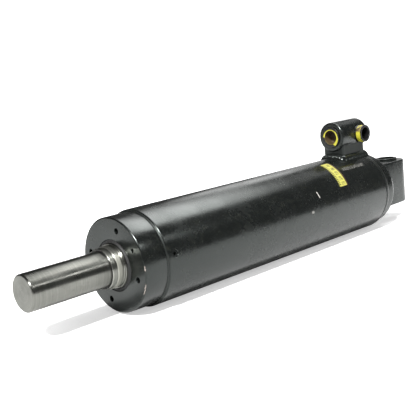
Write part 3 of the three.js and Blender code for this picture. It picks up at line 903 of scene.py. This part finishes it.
def saddle():
    """The bridge between the barrel and the port block, hollowed to both."""
    path = rounded_rectangle(SADDLE_LONG, SADDLE_WIDE, SADDLE_CORNER, spacing=2 * MM)
    count = len(path)
    points = []
    for level in SADDLE_LEVELS:
        for spot, _ in path:
            bottom = barrel_height(spot.y, SADDLE_GAP)
            top = BLOCK_Z - math.sqrt(max(0.0, BLOCK_R**2 - spot.y**2)) - SADDLE_GAP
            points.append((SADDLE_X + spot.x, spot.y, bottom + (top - bottom) * level))
    faces = []
    last_row = len(SADDLE_LEVELS) - 1
    for row in range(last_row):
        for i in range(count):
            j = (i + 1) % count
            a, b = row * count, (row + 1) * count
            faces.append([a + i, a + j, b + j, b + i])
    for row in (0, last_row):
        for i in range(count // 2 - 1):
            j = (count - 1 - i) % count
            k = (count - 2 - i) % count
            faces.append([row * count + n for n in (i, i + 1, k, j)])
    return new_piece("port_bridge", points, faces)


fit(saddle(), "port_saddle", "barrel", ROUGH_PAINT)

PORT_WELD_FOOT = 9 * MM
PORT_WELD_CLIMB = 8 * MM
port_stations = []
for spot, normal in rounded_rectangle(SADDLE_LONG, SADDLE_WIDE, SADDLE_CORNER, WELD_SPACING):
    foot_x = SADDLE_X + spot.x + normal.x * PORT_WELD_FOOT
    foot_y = spot.y + normal.y * PORT_WELD_FOOT
    root = Vector((SADDLE_X + spot.x, spot.y, barrel_height(spot.y)))
    foot = Vector((foot_x, foot_y, barrel_height(foot_y)))
    port_stations.append((root, foot, root + Vector((0, 0, PORT_WELD_CLIMB))))
port_weld = weld_bead("port_weld_bead", port_stations, seed=9, ripple=0.2)
fit(port_weld, "port_weld", "barrel", WELD_PAINT)

# ---------------------------------------------------------------- label

LABEL_COLUMNS = 16
LABEL_ROWS = 40
LABEL_INNER_R = BARREL_R + 0.1 * MM
LABEL_OUTER_R = BARREL_R + 0.5 * MM
LABEL_TRIM = 0.03  # how far its corners are trimmed, over its length
LABEL_CORNER = 12  # the higher, the tighter its corners


def label():
    """A thin foil, bent round the barrel, with round corners and a slight lean."""
    columns, rows = LABEL_COLUMNS, LABEL_ROWS
    points = []
    for radius in (LABEL_INNER_R, LABEL_OUTER_R):
        for row in range(rows + 1):
            v = row / rows
            for column in range(columns + 1):
                u = column / columns
                x = label_low.x + (label_high.x - label_low.x) * u + LABEL_LEAN * (0.5 - v)
                trim = LABEL_TRIM * (abs(2 * u - 1) ** LABEL_CORNER)
                share = v * (1 - 2 * trim) + trim
                points.append(around(LABEL_FIRST + (LABEL_LAST - LABEL_FIRST) * share, radius, x))
    width = columns + 1
    layer = width * (rows + 1)
    faces = []
    for row in range(rows):
        for column in range(columns):
            a = row * width + column
            faces.append([a, a + width, a + width + 1, a + 1])
            faces.append([layer + a, layer + a + 1, layer + a + width + 1, layer + a + width])
    border = list(range(width))
    border += [row * width + columns for row in range(1, rows + 1)]
    border += [rows * width + column for column in range(columns - 1, -1, -1)]
    border += [row * width for row in range(rows - 1, 0, -1)]
    for a, b in zip(border, border[1:] + border[:1]):
        faces.append([a, b, layer + b, layer + a])
    return new_piece("rating_label", points, faces)


fit(label(), "label_plate", "barrel", label_print("foil_yellow"))

# ---------------------------------------------------------------- the other turned pieces

TURNED = [  # node, piece, corner radius in millimetres, body, slot, material
    ("sleeve_tube", "sleeve_wall", 0.4, "sleeve", "machined_steel", TUBE_STEEL),
    ("sleeve_head", "sleeve_end_nut", 0.5, "sleeve", "polished_steel", HEAD_STEEL),
    ("rod_wiper", "rod_wiper_ring", 0.3, "sleeve", "black_rubber", RUBBER),
    ("rod_seal", "rod_seal_ring", 0.5, "sleeve", "black_rubber", RUBBER),
    ("rod_bearing", "rod_guide_bush", 0.2, "sleeve", "bronze", BRONZE),
    ("sleeve_piston", "sleeve_piston_body", 0.4, "sleeve", "inner_steel", INNER_STEEL),
    ("sleeve_wear_ring_front", "sleeve_guide_front", 0.3, "sleeve", "bronze", BRONZE),
    ("sleeve_wear_ring_rear", "sleeve_guide_rear", 0.3, "sleeve", "bronze", BRONZE),
    ("sleeve_piston_seal", "sleeve_seal_ring", 0.6, "sleeve", "black_rubber", RUBBER),
    ("gland_seal", "gland_seal_ring", 0.6, "barrel", "black_rubber", RUBBER),
    ("gland_bearing", "gland_guide_bush", 0.3, "barrel", "bronze", BRONZE),
    ("gland_oring", "gland_o_ring", 2.0, "barrel", "black_rubber", RUBBER),
    ("rod", "rod_bar", 0.5, "rod", "machined_steel", ROD_STEEL),
    ("rod_piston", "rod_piston_body", 0.3, "rod", "inner_steel", INNER_STEEL),
    ("rod_piston_seal", "rod_piston_ring", 0.5, "rod", "black_rubber", RUBBER),
    ("rod_wear_ring", "rod_guide_ring", 0.3, "rod", "bronze", BRONZE),
]
for node, name, corner, body, slot, material in TURNED:
    piece = turn_again(node, name, corner * MM, sides=STAGE_SIDES)
    fit(piece, node, body, material)

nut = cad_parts["rod_nut"]
nut.data.materials.clear()
nut.data.materials.append(INNER_STEEL)

# ---------------------------------------------------------------- studio

FLOOR_LEFT, FLOOR_RIGHT, FLOOR_NEAR, FLOOR_FAR = -1.9, 1.8, -0.86, 1.8
FLOOR_GLOW = 0.5
GLOW_FALL = 1.6  # the power that shapes a panel's fade-out
WORLD_REFLECTED, WORLD_AMBIENT, WORLD_BACKDROP = 0.08, 0.36, 1.3

# Each panel spans a side and a rise from a corner. Its fades are shares of them: in along the
# side, out along the side, in along the rise, out along the rise.
PANELS = [  # name, corner, side, rise, strength, fades
    (
        "overhead_box", (0.0, -0.38, 1.07), (1.35, 0, 0), (0, 1.6, 0),
        7.6, (0.35, 0.63, 0.12, 0.75),
    ),
    (
        "rear_box", (0.72, 1.05, 0.42), (0.62, -0.5, 0), (0, 0, 0.75),
        2.6, (0.35, 0.4, 0.4, 0.35),
    ),
    (
        "rear_wall", (2.0, 1.9, 0.0), (0.3, -1.6, 0), (0, 0, 1.7),
        0.8, (0.12, 0.3, 0.02, 0.4),
    ),
    (
        "overhead_far", (1.05, -0.15, 1.08), (0.65, 0, 0), (0, 0.9, 0),
        1.3, (0.3, 0.4, 0.3, 0.4),
    ),
    (
        "side_strip", (0.3, -1.42, 0.98), (0.46, 0, 0), (0, 0.25, 0.25),
        13.0, (0.2, 0.15, 0.4, 0.4),
    ),
]
SUN_DIRECTION = (-0.613, -0.337, 0.715)  # from the object to the lamp
SUN_STRENGTH = 5.6
SUN_SPREAD = 4.0  # degrees


def floor():
    """A white table top. Seen directly it glows a little, which keeps shadows light."""
    points = [
        (FLOOR_LEFT, FLOOR_NEAR, 0),
        (FLOOR_RIGHT, FLOOR_NEAR, 0),
        (FLOOR_RIGHT, FLOOR_FAR, 0),
        (FLOOR_LEFT, FLOOR_FAR, 0),
    ]
    sheet = new_piece("floor", points, [[0, 1, 2, 3]])
    g = Graph("studio_white", Roughness=0.9, Specular_IOR_Level=0.0, Emission_Color=grey(1.0))
    tone = g.noise(g.place(), 3.0, 2.0)
    seen = g.node("LightPath", output="Is Camera Ray")
    white = g.mix(tone, grey(0.8), grey(0.82))
    g.use(Base_Color=white, Emission_Strength=g.times(seen, FLOOR_GLOW))
    sheet.data.materials.append(g.material)


def soft_panel(name, corner, side, rise, strength, fades):
    """A glowing panel that fades in and out along both its edges."""
    corner, side, rise = Vector(corner), Vector(side), Vector(rise)
    points = [corner, corner + side, corner + side + rise, corner + rise]
    panel = new_piece(name, points, [[0, 1, 2, 3]])
    uv = panel.data.uv_layers.new(name="spread")
    for loop in panel.data.loops:
        spot = panel.data.vertices[loop.vertex_index].co - corner
        share = (spot.dot(side) / side.length_squared, spot.dot(rise) / rise.length_squared)
        uv.data[loop.index].uv = share
    g = Graph(name + "_glow")
    u, v, _ = g.split(g.node("TexCoord", output="UV"))
    glow = strength
    for value, fade_in, fade_out in ((u, fades[0], fades[1]), (v, fades[2], fades[3])):
        fall = g.fade(value, 1 - fade_out, 1.0, 1.0, 0.0)
        glow = g.times(glow, g.fade(value, 0.0, fade_in), g.math("POWER", fall, GLOW_FALL))
    light = g.node("Emission", {"Color": grey(1.0), "Strength": glow})
    g.tree.links.new(light, g.tree.nodes["Material Output"].inputs["Surface"])
    panel.data.materials.append(g.material)
    panel.visible_camera = False
    panel.visible_shadow = False


def studio_world():
    """Dim where glossy pieces reflect it, brighter as fill light, white behind the object."""
    world = bpy.data.worlds.new("studio")
    bpy.context.scene.world = world
    world.use_nodes = True
    world.cycles.sampling_method = "NONE"
    tree = world.node_tree
    rays = tree.nodes.new("ShaderNodeLightPath")

    def sky(value):
        made = tree.nodes.new("ShaderNodeBackground")
        made.inputs["Color"].default_value = grey(value)
        return made.outputs[0]

    shade = sky(WORLD_AMBIENT)
    for value, ray in ((WORLD_REFLECTED, "Is Glossy Ray"), (WORLD_BACKDROP, "Is Camera Ray")):
        mix = tree.nodes.new("ShaderNodeMixShader")
        tree.links.new(rays.outputs[ray], mix.inputs[0])
        tree.links.new(shade, mix.inputs[1])
        tree.links.new(sky(value), mix.inputs[2])
        shade = mix.outputs[0]
    tree.links.new(shade, tree.nodes["World Output"].inputs["Surface"])


def sun():
    """The key light, a distant lamp seen in its direction."""
    light = bpy.data.lights.new("key", "SUN")
    light.energy = SUN_STRENGTH
    light.angle = math.radians(SUN_SPREAD)
    lamp = bpy.data.objects.new("key", light)
    bpy.context.scene.collection.objects.link(lamp)
    lamp.rotation_euler = Vector(SUN_DIRECTION).to_track_quat("Z", "Y").to_euler()


floor()
studio_world()
for panel in PANELS:
    soft_panel(*panel)
sun()

# ---------------------------------------------------------------- camera

CAMERA_AZIMUTH = math.radians(-43.667)
CAMERA_ELEVATION = math.radians(9.973)
CAMERA_ROLL = math.radians(-6.209)
CAMERA_LENS = 66.22  # millimetres, on a sensor 36 wide
CAMERA_UNIT = BARREL_R / math.cos(math.pi / 48)  # to a corner of the CAD barrel's 48 sides
CAMERA_DISTANCE = 16.70  # units from the aim point
CAMERA_AIM = Vector((2.717, 0.0, 0.551))  # units from the middle of the gland's face


def make_camera():
    data = bpy.data.cameras.new("camera")
    data.sensor_width = 36.0
    data.lens = CAMERA_LENS
    camera = bpy.data.objects.new("camera", data)
    bpy.context.scene.collection.objects.link(camera)
    back = Vector((
        math.sin(CAMERA_AZIMUTH) * math.cos(CAMERA_ELEVATION),
        -math.cos(CAMERA_AZIMUTH) * math.cos(CAMERA_ELEVATION),
        math.sin(CAMERA_ELEVATION),
    ))
    right = (-back).cross(Vector((0, 0, 1))).normalized()
    up = right.cross(-back)
    rolled_right = right * math.cos(CAMERA_ROLL) + up * math.sin(CAMERA_ROLL)
    rolled_up = up * math.cos(CAMERA_ROLL) - right * math.sin(CAMERA_ROLL)
    turn = Matrix((rolled_right, rolled_up, back)).transposed().to_4x4()
    place = Vector((GLAND_X, 0, AXIS_Z)) + (CAMERA_AIM + back * CAMERA_DISTANCE) * CAMERA_UNIT
    camera.matrix_world = Matrix.Translation(place) @ turn
    bpy.context.scene.camera = camera


make_camera()
bpy.context.scene.view_settings.view_transform = "Standard"
